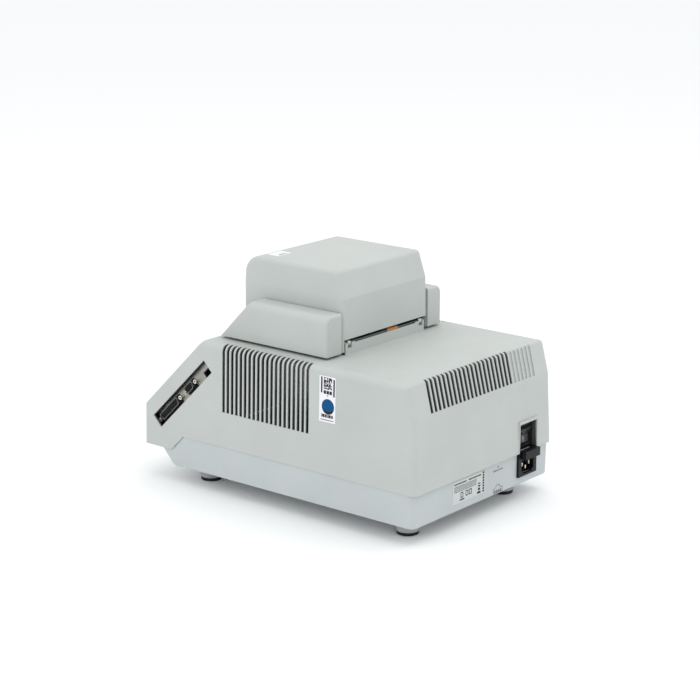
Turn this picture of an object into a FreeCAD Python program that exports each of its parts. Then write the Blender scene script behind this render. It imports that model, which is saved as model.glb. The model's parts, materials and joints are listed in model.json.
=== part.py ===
import FreeCAD, Part
import os
import re
import Sketcher
from FreeCAD import Placement, Rotation, Vector

# Thermal cycler, in millimetres. +X is the user's right, +Y the mains inlet side, +Z up.
# The sloped control panel faces -Y. The origin is on the table under the middle of the outline.

SIZES = {
    # upper housing
    "wide": 265, "deep": 401.3, "front_y": -202.8, "wall": 3,
    "roof_z": 180, "seam_z": 59, "chin_z": 40, "slope_foot_z": 89, "side_lean": 0.0223,
    "chin_back_y": -160.5, "step_back_y": -141, "bend_z": 143, "bend_y": 194.9, "roof_back_y": 185.6,
    "edge_round": 8, "back_round": 3.5, "front_round": 2,
    # lower casing and feet
    "base_z": 20, "base_half": 130, "base_lean": -0.0385, "base_back_y": 195.1,
    "base_nose_y": -165, "base_chin_y": -182.5,
    "foot_x": 90.6, "foot_mid_x": 3, "foot_back_y": 160.5, "foot_front_y": -133.2, "foot_round": 13.6, "pad_tall": 4,
    # vents
    "vent_wide": 4.1, "vent_count": 20, "vent_pitch": 6.6, "vent_first_y": -78, "vent_low_z": 101,
    "grille_count": 27, "grille_blind": 6, "grille_pitch": 7.42, "grille_first_x": -96.5,
    "grille_wide": 4.6, "grille_low_z": 144.5,
    # plinth under the lid, sample block
    "plinth_half": 73.7, "plinth_front_y": -88.7, "plinth_back_y": 55, "plinth_z": 193,
    "block_y": -21.5, "block_long": 112, "block_wide": 76, "block_low_z": 162, "block_top_z": 190,
    "well_pitch": 9, "well_round": 3.15, "well_deep": 18, "well_tip": 1.3,
    "bay_long": 121, "bay_wide": 85,
    # lid
    "hinge_y": 50, "hinge_z": 192, "shaft_round": 2.5, "shaft_slack": 0.05, "shaft_half": 73.6,
    "knuckle_x": 63, "knuckle_wide": 5, "knuckle_round": 4.2, "ear_x": 69.6, "ear_thick": 3,
    "hood_half": 78.2, "hood_bend_half": 77.8, "hood_top_half": 75.5, "hood_front_y": -93,
    "hood_back_y": 55.4, "hood_bend_y": 54.3, "hood_top_y": 45.3, "hood_low_z": 183.5,
    "hood_slot_z": 197.5,
    "hood_bend_z": 244, "hood_top_z": 275, "hood_brow": 20, "hood_round": 5,
    "cheek_back_y": 54.5, "cheek_in_x": 79.7, "cheek_out_x": 105.5, "cheek_low_z": 183, "cheek_top_z": 229,
    "cheek_front_y": -105.5, "cheek_brow_y": -60.5, "cheek_round": 9,
    "tray_z": 218, "tray_thick": 2.5, "plate_low_z": 198.5, "plate_thick": 8, "heater_thick": 1.5,
    "plate_long": 106, "plate_wide": 72, "spring_round": 4, "spring_wire": 0.8,
    # latch in the lid's front
    "latch_half": 30, "latch_y": -84.2, "latch_z": 214, "latch_top_z": 218, "hook_low_z": 184,
    # control panel, measured along the slope (t) and out of it (n)
    "panel_half": 104, "panel_low_t": 12, "panel_high_t": 116, "panel_thick": 1.5,
    "screen_x": -88, "screen_long": 96, "screen_t": 56, "screen_wide": 40,
    "key_long": 13, "key_wide": 9, "key_x": 29.5, "key_t": 25, "key_pitch_x": 19, "key_pitch_t": 17,
    "key_gap": 0.4, "key_proud": 2.2,
    # connector window
    "window_t": 57.6, "window_n": -26.9, "window_long": 114, "window_wide": 17.6, "bracket_x": 123.5,
    "wide_port_t": 25.2, "small_port_t": 70.2, "card_t": 104.6, "wide_screws": 47.04, "small_screws": 25,
    # power entry
    "inlet_x": -83.5, "inlet_low_z": 30, "inlet_top_z": 92, "flange_half": 18, "flange_y": 198.1,
    "fuse_low_z": 51.8, "fuse_tall": 9.8, "fuse_half": 14.3, "fuse_y": 205.5,
    "socket_z": 41, "socket_half": 12, "socket_tall": 16.5, "rocker_z": 76.5, "rocker_y": 192,
    # fans and heat sink
    "fan_x": 44, "fan_y": 26.5, "fan_z": 112, "fan_size": 80, "fan_thick": 25, "rotor_round": 37,
    "sink_low_z": 98, "sink_top_z": 158, "fin_pitch": 8, "fin_thick": 2, "cell_thick": 4,
}

doc = FreeCAD.newDocument("thermal_cycler")
sheet = doc.addObject("Spreadsheet::Sheet", "Sizes")
for row, (alias, number) in enumerate(SIZES.items(), start=1):
    sheet.set(f"A{row}", alias)
    sheet.set(f"B{row}", str(number))
    sheet.setAlias(f"B{row}", alias)
doc.recompute()

ALONG = {"x": Rotation(Vector(0, 1, 0), 90), "y": Rotation(Vector(1, 0, 0), -90), "z": Rotation()}
SIDE_VIEW = Rotation(Vector(0, 1, 0), Vector(0, 0, 1), Vector(1, 0, 0), "ZXY")
FRONT_VIEW = Rotation(Vector(1, 0, 0), Vector(0, 0, 1), Vector(0, -1, 0), "ZXY")
SLOPE = Rotation(Vector(1, 0, 0), 45)
nodes = []


def linked(text):
    """Turn each alias in an expression into a reference to the sheet."""
    return re.sub(r"[a-z_]+", lambda word: "Sizes." + word[0] if word[0] in SIZES else word[0], str(text))


def value(text):
    return sheet.evalExpression(linked(text))


def bind(thing, **sizes):
    """Bind properties to expressions. A double underscore stands for a dot."""
    for name, text in sizes.items():
        thing.setExpression(name.replace("__", "."), linked(text))


def put(thing, place, turn=None):
    """Set where a thing is, and which way it is turned."""
    if turn is not None:
        thing.Placement = Placement(Vector(), turn)
    bind(thing, Placement__Base__x=place[0], Placement__Base__y=place[1], Placement__Base__z=place[2])


def on_slope(across, up, out):
    """A place given across the control slope, up along it and out of it."""
    lift = f"(({up}) * sin(45deg) + ({out}) * cos(45deg))"
    run = f"(({up}) * cos(45deg) - ({out}) * sin(45deg))"
    return across, f"front_y + {run}", f"slope_foot_z + {lift}"


def box(size, low):
    """A block from its size and its lowest corner."""
    thing = doc.addObject("Part::Box", "Block")
    bind(thing, Length=size[0], Width=size[1], Height=size[2])
    put(thing, low)
    return thing


def slope_box(size, low):
    """A block square to the control slope: size and low corner are across, up and out."""
    thing = doc.addObject("Part::Box", "SlopeBlock")
    bind(thing, Length=size[0], Width=size[1], Height=size[2])
    put(thing, on_slope(*low), SLOPE)
    return thing


def rod(radius, length, start, axis="z"):
    thing = doc.addObject("Part::Cylinder", "Rod")
    bind(thing, Radius=radius, Height=length)
    put(thing, start, ALONG[axis])
    return thing


def rod_on_slope(radius, length, start):
    """A rod that stands square on the control slope."""
    thing = doc.addObject("Part::Cylinder", "SlopeRod")
    bind(thing, Radius=radius, Height=length)
    put(thing, on_slope(*start), SLOPE)
    return thing


def cone(low_radius, high_radius, length, start):
    thing = doc.addObject("Part::Cone", "Cone")
    bind(thing, Radius1=low_radius, Radius2=high_radius, Height=length)
    put(thing, start)
    return thing


def wedge(low_half, lean, low_z, high_z):
    """A block between two side planes that lean inwards by lean per millimetre of height."""
    thing = doc.addObject("Part::Wedge", "Wedge")
    top_half = f"{low_half} - {lean} * ({high_z} - ({low_z}))"
    bind(thing, Xmin=f"-({low_half})", Xmax=low_half, X2min=f"-({top_half})", X2max=top_half)
    bind(thing, Ymin=low_z, Ymax=high_z, Zmin="-deep", Zmax="deep", Z2min="-deep", Z2max="deep")
    put(thing, (0, 0, 0), Rotation(Vector(1, 0, 0), 90))
    return thing


def outline(points, view=SIDE_VIEW, offset="0"):
    """A closed sketch of straight sides, each corner bound to its two expressions."""
    sketch = doc.addObject("Sketcher::SketchObject", "Outline")
    corners = [(value(first), value(second)) for first, second in points]
    for here, there in zip(corners, corners[1:] + corners[:1]):
        sketch.addGeometry(Part.LineSegment(Vector(*here, 0), Vector(*there, 0)))
    for side in range(len(points)):
        sketch.addConstraint(Sketcher.Constraint("Coincident", side, 2, (side + 1) % len(points), 1))
    for side, point in enumerate(points):
        for kind, text in zip(("DistanceX", "DistanceY"), point):
            place = sketch.addConstraint(Sketcher.Constraint(kind, -1, 1, side, 1, value(text)))
            sketch.setExpression(f"Constraints[{place}]", linked(text))
    put(sketch, (offset, 0, 0) if view is SIDE_VIEW else (0, offset, 0), view)
    return sketch


def extrude(sketch, length, symmetric=True):
    thing = doc.addObject("Part::Extrusion", "Extrusion")
    thing.Base = sketch
    thing.DirMode = "Normal"
    thing.Solid = True
    thing.Symmetric = symmetric
    bind(thing, LengthFwd=length)
    return thing


def fuse(*things):
    thing = doc.addObject("Part::MultiFuse", "Fusion")
    thing.Shapes = list(things)
    return thing


def group(*things):
    """Separate solids kept together."""
    thing = doc.addObject("Part::Compound", "Group")
    thing.Links = list(things)
    return thing


def cut(base, *tools):
    thing = doc.addObject("Part::Cut", "Cut")
    thing.Base = base
    thing.Tool = tools[0] if len(tools) == 1 else group(*tools)
    return thing


def common(*things):
    thing = doc.addObject("Part::MultiCommon", "Common")
    thing.Shapes = list(things)
    return thing


def fillet(base, radius, chosen, second_radius="0", second_chosen=None):
    """Round the edges whose middle and direction a test accepts, if wanted with a second radius too."""
    doc.recompute()
    edges = []
    for number, edge in enumerate(base.Shape.Edges, start=1):
        middle = edge.valueAt((edge.FirstParameter + edge.LastParameter) / 2)
        ends = edge.Vertexes[-1].Point - edge.Vertexes[0].Point
        way = ends.normalize() if ends.Length else ends
        for size, test in ((value(radius), chosen), (value(second_radius), second_chosen)):
            if test and test(middle, way):
                edges.append((number, size, size))
    thing = doc.addObject("Part::Fillet", "Rounded")
    thing.Base = base
    thing.Edges = edges
    return thing


def mirrored(base):
    """The same piece on the other side of the middle plane."""
    thing = doc.addObject("Part::Mirroring", "Mirror")
    thing.Source = base
    thing.Normal = Vector(1, 0, 0)
    return thing


def node(label, thing):
    thing.Label = label
    nodes.append(thing)
    return thing


def row_of(count, make):
    return [make(number) for number in range(count)]


# ---------------------------------------------------------------- upper housing

def housing_body(skin):
    """The housing's outer form moved inwards by skin, open below when skin is not zero."""
    back_y = "front_y + deep"
    slope_top_y = "front_y + roof_z - slope_foot_z"
    if skin == "0":
        underside = [("front_y", "chin_z"), ("chin_back_y", "chin_z"), ("step_back_y", "seam_z"),
                     (back_y, "seam_z")]
    else:
        underside = [(f"front_y + {skin}", "base_z"), (f"{back_y} - {skin}", "base_z"),
                     (f"{back_y} - {skin}", "seam_z")]
    crown = [(f"bend_y - {skin}", f"bend_z - 0.12 * {skin}"),
             (f"roof_back_y - 1.1 * {skin}", f"roof_z - {skin}"),
             (f"{slope_top_y} + 0.414 * {skin}", f"roof_z - {skin}"),
             (f"front_y + {skin}", f"slope_foot_z - 0.414 * {skin}")]
    slab = extrude(outline(underside + crown), "wide * 1.2")
    low_half = f"wide / 2 + side_lean * (seam_z - base_z) - {skin}"
    block = common(slab, wedge(low_half, "side_lean", "base_z - 1", "roof_z + 5"))

    def corners_and_roof_sides(middle, way):
        corner = middle.y > 180 and abs(middle.x) > 110
        roof_edge = middle.z > value("roof_z") - 5 and abs(way.y) > 0.9
        return (corner and abs(way.z) > 0.9) or roof_edge

    def roof_back(middle, way):
        return middle.z > value("roof_z") - 5 and middle.y > 170 and abs(way.x) > 0.9

    def slope_sides(middle, way):
        side = abs(middle.x) > 110 and middle.y < -105
        return side and (abs(way.z) > 0.9 or (way.y * way.z > 0.3)) and middle.z > 45

    rounded = fillet(block, f"edge_round - {skin}", corners_and_roof_sides, f"back_round - {skin}", roof_back)
    return fillet(rounded, "front_round", slope_sides) if skin == "0" else rounded


def side_vents(side):
    """Slots up one side, each running over the rounded roof edge."""
    low_x = "wide / 2 - 12.5" if side > 0 else "-wide / 2 - 10"
    return group(*row_of(SIZES["vent_count"], lambda number: box(
        ("22.5", "vent_wide", "roof_z + 2 - vent_low_z"),
        (low_x, f"vent_first_y - vent_wide / 2 + {number} * vent_pitch", "vent_low_z"))))


def back_grille():
    """Slots in the leaning back. The last few are blind."""
    def slot(number):
        blind = number < SIZES["grille_blind"]
        near_y = "roof_back_y - 0.8" if blind else "roof_back_y - 4"
        form = extrude(outline([
            (f"{near_y} + 8.2 * {int(blind)}", "grille_low_z"), ("front_y + deep", "grille_low_z"),
            ("front_y + deep", "roof_z + 2"), (near_y, "roof_z + 2"), (near_y, "roof_z - 3")],
            offset=f"grille_first_x + {number} * grille_pitch"), "grille_wide")
        return form
    return group(*row_of(SIZES["grille_count"], slot))


def window_cut():
    return slope_box(("30", "window_long", "window_wide"),
                     ("wide / 2 - 20", "window_t - window_long / 2", "window_n - window_wide / 2"))


def plinth():
    """The raised bed that the lid closes on, with its opening for the sample block."""
    bed = box(("2 * plinth_half", "plinth_back_y - plinth_front_y", "plinth_z - roof_z + wall"),
              ("-plinth_half", "plinth_front_y", "roof_z - wall"))
    rounded = fillet(bed, "3", lambda middle, way: abs(way.z) > 0.9)
    hollow = box(("2 * plinth_half - 2 * wall", "plinth_back_y - plinth_front_y - 14", "plinth_z - roof_z"),
                 ("wall - plinth_half", "plinth_front_y + wall", "roof_z - wall"))
    return cut(rounded, hollow)


def hinge_channel():
    """The trough for the hinge shaft: low at the back, wider at the knuckles, deep at the bracket ears."""
    trough = box(("2 * ear_x", "6.5", "9"), ("-ear_x", "hinge_y - 3.5", "hinge_z - 3.5"))
    low_lip = box(("112", "8", "5"), ("-56", "hinge_y", "hinge_z - 0.2"))
    tools = [trough, low_lip]
    for side in (-1, 1):
        knuckle_low = "knuckle_x - 1" if side > 0 else "-knuckle_x - knuckle_wide - 1"
        ear_low = "ear_x - 0.4" if side > 0 else "-ear_x - ear_thick - 1.2"
        tools.append(box(("knuckle_wide + 2", "11", "10"), (knuckle_low, "hinge_y - 5", "hinge_z - 5")))
        tools.append(box(("ear_thick + 1.6", "8", "30"), (ear_low, "hinge_y - 4", "hinge_z - 22")))
    return fuse(*tools)


def sink_posts():
    return [rod("2.4", "roof_z - wall - sink_top_z + 1", (x, f"block_y {side} 45.6", "sink_top_z"))
            for x in ("-55", "55") for side in "+-"]


def upper_housing():
    shell = cut(housing_body("0"), housing_body("wall"))
    block_hole = box(("bay_long", "bay_wide", "40"), ("-bay_long / 2", "block_y - bay_wide / 2", "160"))
    chin_floor = box(("wide - 8", "base_chin_y - front_y - 2", "wall"),
                     ("4 - wide / 2", "front_y + 1.5", "chin_z"))
    duct = box(("2 * flange_half + 1", "12", "inlet_top_z + 3 - seam_z"),
               ("inlet_x - flange_half - 0.5", "flange_y - 11.5", "seam_z + 1.6"))
    whole = fuse(shell, plinth(), chin_floor, duct, *sink_posts())
    cable_gap = box(("24", "4", "30"), ("-27", "hinge_y - 7", "170"))
    hook_gap = box(("16", "14", "30"), ("-8", "latch_y - 9.5", "170"))
    panel_seat = slope_box(("2 * panel_half", "panel_high_t - panel_low_t", "5"),
                           ("-panel_half", "panel_low_t", "-panel_thick"))
    panel_hole = slope_box(("2 * panel_half - 8", "panel_high_t - panel_low_t - 8", "20"),
                           ("4 - panel_half", "panel_low_t + 4", "-15"))
    inlet_hole = box(("2 * flange_half - 2", "40", "inlet_top_z + 1 - seam_z + 2"),
                     ("inlet_x - flange_half + 1", "base_back_y - 20", "seam_z - 2"))
    return cut(whole, block_hole, hinge_channel(), cable_gap, hook_gap, panel_seat, panel_hole,
               window_cut(), inlet_hole, side_vents(1), side_vents(-1), back_grille())


# ---------------------------------------------------------------- lower casing and feet

def casing_body(skin):
    floor_z = f"base_z + {skin}"
    points = [(f"base_nose_y + {skin}", floor_z), (f"base_back_y - {skin}", floor_z)]
    if skin == "0":
        points += [("base_back_y", "seam_z"), ("step_back_y", "seam_z"), ("chin_back_y", "chin_z"),
                   ("base_chin_y", "chin_z")]
    else:
        points += [(f"base_back_y - {skin}", "seam_z + 5"), (f"base_chin_y + 1.2 * {skin}", "seam_z + 5"),
                   (f"base_chin_y + 1.2 * {skin}", "chin_z")]
    slab = extrude(outline(points), "wide * 1.2")
    block = common(slab, wedge(f"base_half - {skin}", "base_lean", "base_z", "seam_z + 10"))
    if skin != "0":
        return block
    upright = fillet(block, "edge_round", lambda middle, way: abs(middle.x) > 110 and abs(way.z) > 0.7
                     and (middle.y > 150 or (middle.y < -163 and middle.z < 39)))
    return fillet(upright, "2", lambda middle, way: middle.z < 20.5 and way.Length > 0)


def casing():
    hollow = cut(casing_body("0"), casing_body("wall"))
    inlet_hole = box(("2 * flange_half - 4", "20", "seam_z + 5 - inlet_low_z"),
                     ("inlet_x - flange_half + 2", "base_back_y - 10", "inlet_low_z + 2"))
    bosses = [rod("5", "9", (x, y, "base_z + 1"), "z")
              for x in ("-95", "95") for y in ("-120", "5")]
    holes = [rod("4.2", "8", (x, y, "base_z - 2")) for x, y in foot_places().values()]
    holes += [rod("2", "8", (x, y, "base_z - 2")) for x, y in screw_places()]
    air = [box(("4", "60", "10"), (f"{12 * number - 60}", "-60", "base_z - 2")) for number in range(11)]
    return cut(fuse(hollow, *bosses), inlet_hole, *air, *holes)


def foot_places():
    sides = {"right": "foot_mid_x + foot_x", "left": "foot_mid_x - foot_x"}
    ends = {"back": "foot_back_y", "front": "foot_front_y"}
    return {f"{end}_{side}": (sides[side], ends[end]) for end in ends for side in sides}


def feet():
    """Turned feet with a plug in the casing floor, and the pads they stand on."""
    pads = []
    for name, (x, y) in foot_places().items():
        cup = cone("foot_round - 0.8", "foot_round + 0.4", "base_z - pad_tall", (x, y, "pad_tall"))
        node(f"foot_{name}", fuse(cup, rod("4", "base_z - pad_tall + 3", (x, y, "pad_tall"))))
        pad = rod("foot_round - 1", "pad_tall", (x, y, "0"))
        pads.append(fillet(pad, "1", lambda middle, way: middle.z < 1))
    node("foot_pads", group(*pads))


# ---------------------------------------------------------------- control panel

def control_panel():
    plate = slope_box(("2 * panel_half - 0.4", "panel_high_t - panel_low_t - 0.4", "panel_thick"),
                      ("0.2 - panel_half", "panel_low_t + 0.2", "-panel_thick"))
    screen_hole = slope_box(("screen_long", "screen_wide", "6"), ("screen_x", "screen_t", "-4"))
    key_holes = [slope_box(("key_long + 2 * key_gap", "key_wide + 2 * key_gap", "6"),
                           (f"{x} - key_gap", f"{t} - key_gap", "-4")) for x, t in key_places()]
    posts = [rod_on_slope("2", "8.1", (x, t, "-8")) for x in ("key_x - 9", "key_x + 61")
             for t in ("key_t - 3.5", "key_t + 62.5")]
    node("front_panel", fuse(cut(plate, screen_hole, *key_holes), *posts))
    node("display_window", slope_box(("screen_long - 0.2", "screen_wide - 0.2", "panel_thick - 0.3"),
                                     ("screen_x + 0.1", "screen_t + 0.1", "-panel_thick")))
    frame = slope_box(("screen_long + 8", "screen_wide + 8", "9"), ("screen_x - 4", "screen_t - 4", "-11"))
    glass_seat = slope_box(("screen_long - 12", "screen_wide - 14", "3"),
                           ("screen_x + 6", "screen_t + 7", "-4"))
    node("display_module", cut(frame, glass_seat))
    board = slope_box(("4 * key_pitch_x", "4 * key_pitch_t + 4", "1.6"),
                      ("key_x - 12", "key_t - 6", "-9.6"))
    node("key_board", board)


def key_places():
    """The low corner of each key, by rows from the top of the pad."""
    return [(f"key_x + {column} * key_pitch_x", f"key_t + {3 - row} * key_pitch_t")
            for row in range(4) for column in range(3)]


def keys():
    names = ["1", "2", "3", "4", "5", "6", "7", "8", "9", "stop", "0", "start"]
    for name, (x, t) in zip(names, key_places()):
        cap = slope_box(("key_long", "key_wide", "key_proud + 4.2"), (x, t, "-4.2"))
        skirt = slope_box(("key_long + 3", "key_wide + 3", "1.2"), (f"{x} - 1.5", f"{t} - 1.5", "-4.2"))
        rounded = fillet(cap, "1", lambda middle, way: way.x == 0 and way.z * way.y < -0.3)
        node(f"key_{name}", fuse(rounded, skirt))


# ---------------------------------------------------------------- connector window

def ports():
    low_t = "window_t - window_long / 2 - 4"
    plate = slope_box(("1.5", "window_long + 8", "window_wide + 8"),
                      ("bracket_x - 1.5", low_t, "window_n - window_wide / 2 - 4"))
    lip = slope_box(("14", "window_long + 8", "1.5"),
                    ("bracket_x - 15.5", low_t, "window_n + window_wide / 2 + 2.5"))
    holes = []
    for middle, pitch in (("wide_port_t", "wide_screws"), ("small_port_t", "small_screws")):
        holes.append(slope_box(("6", f"{pitch} - 7", "9.6"),
                               ("bracket_x - 4", f"{middle} - {pitch} / 2 + 3.5", "window_n - 4.8")))
        for side in ("-", "+"):
            place = on_slope("bracket_x - 4", f"{middle} {side} {pitch} / 2", "window_n")
            holes.append(rod("1.6", "6", place, "x"))
    holes.append(slope_box(("6", "13.4", "9.4"), ("bracket_x - 4", "card_t - 6.7", "window_n - 8.2")))
    node("connector_bracket", cut(fuse(plate, lip), *holes))
    fitted = ("wide_port_t - wide_screws / 2", "wide_port_t + wide_screws / 2",
              "small_port_t + small_screws / 2")
    node("jack_screws", group(*[hex_screw(up) for up in fitted]))
    node("port_25_way", d_port("wide_port_t", "wide_screws", 13))
    node("port_9_way", d_port("small_port_t", "small_screws", 5))
    body = slope_box(("20", "13", "9"), ("bracket_x - 19", "card_t - 6.5", "window_n - 8"))
    slot = slope_box(("16", "10", "6"), ("bracket_x - 14", "card_t - 5", "window_n - 6.5"))
    node("card_socket", cut(body, slot))


def hex_screw(up):
    """A hexagonal jack screw with a bore for a plug's screw, its shank through the bracket."""
    head = doc.addObject("Part::Prism", "Hexagon")
    head.Polygon = 6
    bind(head, Circumradius="2.7", Height="5")
    put(head, on_slope("bracket_x", up, "window_n"), ALONG["x"])
    shank = rod("1.5", "6", on_slope("bracket_x - 6", up, "window_n"), "x")
    bore = rod("1.3", "4", on_slope("bracket_x + 1.2", up, "window_n"), "x")
    return cut(fuse(head, shank), bore)


def d_port(middle, pitch, longest_row):
    """A D-shaped port: a metal rim round an insulator with two rows of holes."""
    long = f"({pitch} - 8)"
    corners = [on_slope("0", f"{middle} {side} ({long} / 2 - {inset})", f"window_n + {out}")[1:]
               for side, inset, out in (("-", 1.5, -4.3), ("+", 1.5, -4.3), ("+", 0, 4.3), ("-", 0, 4.3))]
    rim = extrude(outline(corners, offset="bracket_x + 0.75"), "9.5")
    rim = fillet(rim, "2", lambda edge, way: abs(way.x) > 0.9)
    back = slope_box(("8", f"{long} + 2", "11"), ("bracket_x - 12", f"{middle} - {long} / 2 - 1", "window_n - 5.5"))
    holes = []
    for count, out in ((longest_row, "1.42"), (longest_row - 1, "-1.42")):
        for number in range(count):
            up = f"{middle} + {number - (count - 1) / 2} * 2.77"
            holes.append(rod("0.6", "4", on_slope("bracket_x + 2", up, f"window_n + {out}"), "x"))
    return cut(fuse(rim, back), *holes)


# ---------------------------------------------------------------- power entry

def power_entry():
    flange = box(("2 * flange_half", "flange_y - base_back_y", "seam_z - 0.2 - inlet_low_z"),
                 ("inlet_x - flange_half", "base_back_y", "inlet_low_z"))
    lower = box(("2 * flange_half - 6", "32", "seam_z + 1.5 - inlet_low_z - 3"),
                ("inlet_x - flange_half + 3", "base_back_y - 32", "inlet_low_z + 3"))
    upper = box(("2 * flange_half - 4", "25", "inlet_top_z - seam_z"),
                ("inlet_x - flange_half + 2", "rocker_y - 25", "seam_z"))
    socket_low = box(("2 * socket_half", "18", "socket_tall - 3"),
                     ("inlet_x - socket_half", "flange_y - 17", "socket_z - socket_tall / 2 + 3"))
    socket_foot = box(("2 * socket_half - 6", "18", "4"),
                      ("inlet_x - socket_half + 3", "flange_y - 17", "socket_z - socket_tall / 2"))
    drawer_way = box(("2 * fuse_half + 0.8", "40", "fuse_tall + 0.8"),
                     ("inlet_x - fuse_half - 0.4", "fuse_y - 38", "fuse_low_z - 0.4"))
    rocker_way = box(("23", "12", "21.4"), ("inlet_x - 11.5", "rocker_y - 11", "rocker_z - 10.7"))
    pins = [box(("2", "31", "4"), (f"inlet_x + {x} - 1", "flange_y - 34", f"socket_z + {z} - 2"))
            for x, z in ((-7, 2), (7, 2), (0, -2))]
    body = cut(fuse(flange, lower, upper), socket_low, socket_foot, drawer_way, rocker_way, rocker_pin(0.05))
    node("power_entry", cut(body, *pins))
    node("inlet_pins", group(*pins))


def fuse_drawer():
    """The drawer with its two fuse wells. At rest it stands a little way out."""
    front = box(("2 * fuse_half", "6", "fuse_tall"), ("inlet_x - fuse_half", "fuse_y - 6", "fuse_low_z"))
    tongue = box(("2 * fuse_half - 2", "25", "fuse_tall - 2"),
                 ("inlet_x - fuse_half + 1", "fuse_y - 31", "fuse_low_z + 1"))
    wells = [box(("22", "5.8", "8"), ("inlet_x - 11", f"fuse_y - {y}", "fuse_low_z + 3")) for y in (16, 25)]
    node("fuse_drawer", cut(fuse(front, tongue), *wells))
    fuses = [rod("2.5", "20", ("inlet_x - 10", f"fuse_y - {y}", "fuse_low_z + 5.7"), "x")
             for y in (13.1, 22.1)]
    node("fuses", group(*fuses))


def rocker_pin(slack):
    """The rocker's pivot, grown by slack where it cuts the housing."""
    return rod(f"1.5 + {slack}", f"24.4 + 2 * {slack}", (f"inlet_x - 12.2 - {slack}", "rocker_y - 4", "rocker_z"), "x")


def rocker_switch():
    """A rocker on its cross pin, tipped so that its upper end stands out."""
    points = [("rocker_y - 4", "rocker_z - 10"), ("rocker_y - 1", "rocker_z - 9.6"),
              ("rocker_y - 1.6", "rocker_z"), ("rocker_y + 2.2", "rocker_z + 8"),
              ("rocker_y", "rocker_z + 9.2"), ("rocker_y - 4", "rocker_z + 10")]
    paddle = extrude(outline(points, offset="inlet_x"), "22")
    node("rocker_switch", fuse(paddle, rocker_pin(0)))


# ---------------------------------------------------------------- sample block and cooling

def sample_block():
    plate = box(("block_long", "block_wide", "block_top_z - block_low_z"),
                ("-block_long / 2", "block_y - block_wide / 2", "block_low_z"))
    wells = [cone("well_tip", "well_round", "well_deep",
                  (f"{column - 5.5} * well_pitch", f"block_y + {line - 3.5} * well_pitch",
                   "block_top_z - well_deep"))
             for column in range(12) for line in range(8)]
    node("sample_block", cut(plate, *wells))
    outer = box(("bay_long - 0.6", "bay_wide - 0.6", "15"),
                ("0.3 - bay_long / 2", "0.3 + block_y - bay_wide / 2", "plinth_z - 14"))
    inner = box(("block_long + 0.6", "block_wide + 0.6", "20"),
                ("-block_long / 2 - 0.3", "block_y - block_wide / 2 - 0.3", "plinth_z - 16"))
    node("block_surround", cut(outer, inner))


def cooling():
    cells = [box(("35", "35", "cell_thick"), (f"{37 * column} - 17.5", f"block_y + {19 * side} - 17.5", "sink_top_z"))
             for column in (-1, 0, 1) for side in (-1, 1)]
    node("thermoelectric_cells", group(*cells))
    plate = box(("124", "96", "8"), ("-62", "block_y - 48", "sink_top_z - 8"))
    fins = [box(("fin_thick", "96", "sink_top_z - 8 - sink_low_z + 1"),
                (f"{number} * fin_pitch - 1 - 60", "block_y - 48", "sink_low_z")) for number in range(16)]
    node("heat_sink", fuse(plate, *fins))
    for name, x in (("left", "-fan_x"), ("right", "fan_x")):
        node(f"fan_frame_{name}", fan_frame(x))
        node(f"fan_rotor_{name}", fan_rotor(x))


def fan_frame(x):
    half = "fan_size / 2"
    block = box(("fan_size", "fan_thick", "fan_size"), (f"{x} - {half}", "fan_y", f"fan_z - {half}"))
    rounded = fillet(block, "4", lambda middle, way: abs(way.y) > 0.9)
    duct = rod("rotor_round + 1", "fan_thick + 2", (x, "fan_y - 1", "fan_z"), "y")
    hub = rod("15", "3", (x, "fan_y + fan_thick - 3", "fan_z"), "y")
    shaft = rod("1.5", "fan_thick - 5", (x, "fan_y + 4", "fan_z"), "y")
    bars = [box(("fan_size - 4", "3", "4"), (f"{x} - {half} + 2", "fan_y + fan_thick - 3", "fan_z - 2")),
            box(("4", "3", "fan_size - 4"), (f"{x} - 2", "fan_y + fan_thick - 3", f"fan_z - {half} + 2"))]
    holes = [rod("2.2", "fan_thick + 2", (f"{x} {across} 35.75", "fan_y - 1", f"fan_z {up} 35.75"), "y")
             for across in "+-" for up in "+-"]
    return cut(fuse(cut(rounded, duct), hub, shaft, *bars), *holes)


def fan_rotor(x):
    """A hub on the shaft with seven slanted blades."""
    hub = rod("15", "fan_thick - 9", (x, "fan_y + 2", "fan_z"), "y")
    bore = rod("1.55", "fan_thick", (x, "fan_y + 3.5", "fan_z"), "y")
    slant = Rotation(Vector(0, 0, 1), 32)
    blades = []
    for number in range(7):
        blade = box(("2", "15", "rotor_round - 14"), ("0", "0", "0"))
        turn = Rotation(Vector(0, 1, 0), number * 360 / 7)
        blade.Placement = Placement(Vector(), turn.multiply(slant))
        root = turn.multVec(Vector(4, 0, 13))
        put(blade, (f"{x} + {root.x}", "fan_y + 3", f"fan_z + {root.z}"))
        blades.append(blade)
    sweep = rod("rotor_round", "fan_thick - 9", (x, "fan_y + 2", "fan_z"), "y")
    return cut(fuse(hub, common(fuse(*blades), sweep)), bore)


def electronics():
    board = box(("200", "150", "1.6"), ("-100", "-135", "base_z + 10"))
    chips = [box((f"{long}", f"{wide}", f"{tall}"), (f"{x}", f"{y}", "base_z + 11.6"))
             for x, y, long, wide, tall in ((-80, -110, 30, 30, 3), (-30, -115, 45, 15, 4),
                                            (30, -105, 24, 24, 3), (60, -60, 18, 50, 12),
                                            (-70, -50, 20, 40, 18), (-20, -60, 40, 20, 3))]
    node("main_board", fuse(board, *chips))
    case = box(("150", "80", "60"), ("-48", "100", "base_z + 6"))
    hollow = box(("146", "76", "62"), ("-46", "102", "base_z + 8"))
    slots = [box(("3", "90", "40"), (f"{12 * number - 34}", "95", "base_z + 16")) for number in range(11)]
    coil = box(("60", "60", "48"), ("-30", "110", "base_z + 8"))
    node("power_supply", fuse(cut(case, hollow, *slots), coil))


# ---------------------------------------------------------------- lid

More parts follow.
